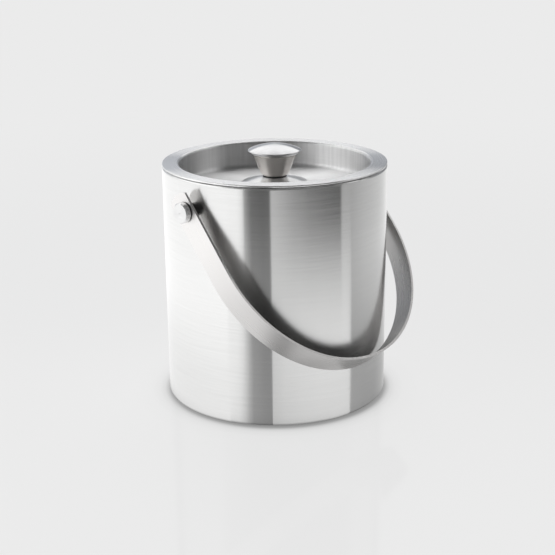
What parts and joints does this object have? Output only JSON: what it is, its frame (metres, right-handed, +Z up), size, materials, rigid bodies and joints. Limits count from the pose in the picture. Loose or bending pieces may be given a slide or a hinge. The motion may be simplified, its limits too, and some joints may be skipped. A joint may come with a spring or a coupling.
{
  "type": "ice bucket",
  "caption": "Double-walled brushed steel ice bucket with a recessed lift-off lid, a small domed knob and a flat strap bail that swings on side pivots.",
  "frame": {"origin": "centre of the foot ring, on the surface that the bucket stands on", "axes": "+Z up along the bucket's axis; X along the bail's pivot axis; the bail hangs towards -Y"},
  "size_m": [0.1612, 0.1532, 0.1598],
  "materials": {
    "steel_body": "fine satin brushed around the body",
    "steel_base": "plain mill finish",
    "steel_inner": "satin brushed around the vessel",
    "steel_bail": "satin brushed along the strip",
    "steel_lid": "satin turned",
    "steel_lid_under": "satin turned",
    "steel_knob": "fine turned, slightly warm",
    "steel_polished": "polished",
    "steel_cap": "turned and lightly polished",
    "black_nylon": "matte",
    "seal": "soft satin silicone",
    "zinc": "plain zinc plated"
  },
  "bodies": {
    "bucket": {"outer_shell": "steel_body", "base_plate": "steel_base", "inner_vessel": "steel_inner", "left_backing_plate": "zinc", "right_backing_plate": "zinc", "left_nut": "zinc", "right_nut": "zinc", "left_stud": "zinc", "right_stud": "zinc", "left_spacer": "black_nylon", "right_spacer": "black_nylon", "left_washer": "black_nylon", "right_washer": "black_nylon", "left_cap": "steel_cap", "right_cap": "steel_cap"},
    "bail": {"bail_strap": "steel_bail"},
    "lid": {"lid_pan": "steel_lid", "lid_base": "steel_lid_under", "lid_seal": "seal", "knob_gasket": "black_nylon", "knob_body": "steel_knob", "knob_crown": "steel_polished", "knob_screw": "zinc", "knob_washer": "zinc"}
  },
  "joints": [
    {"name": "bail_swing", "type": "hinge", "parent": "bucket", "child": "bail", "pos_m": [0, 0, 0.1308], "axis": [-1, 0, 0], "range_deg": [0, 281.2]},
    {"name": "lid_lift", "type": "slide", "parent": "bucket", "child": "lid", "axis": [0, 0, 1], "range_m": [0, 0.05]}
  ]
}
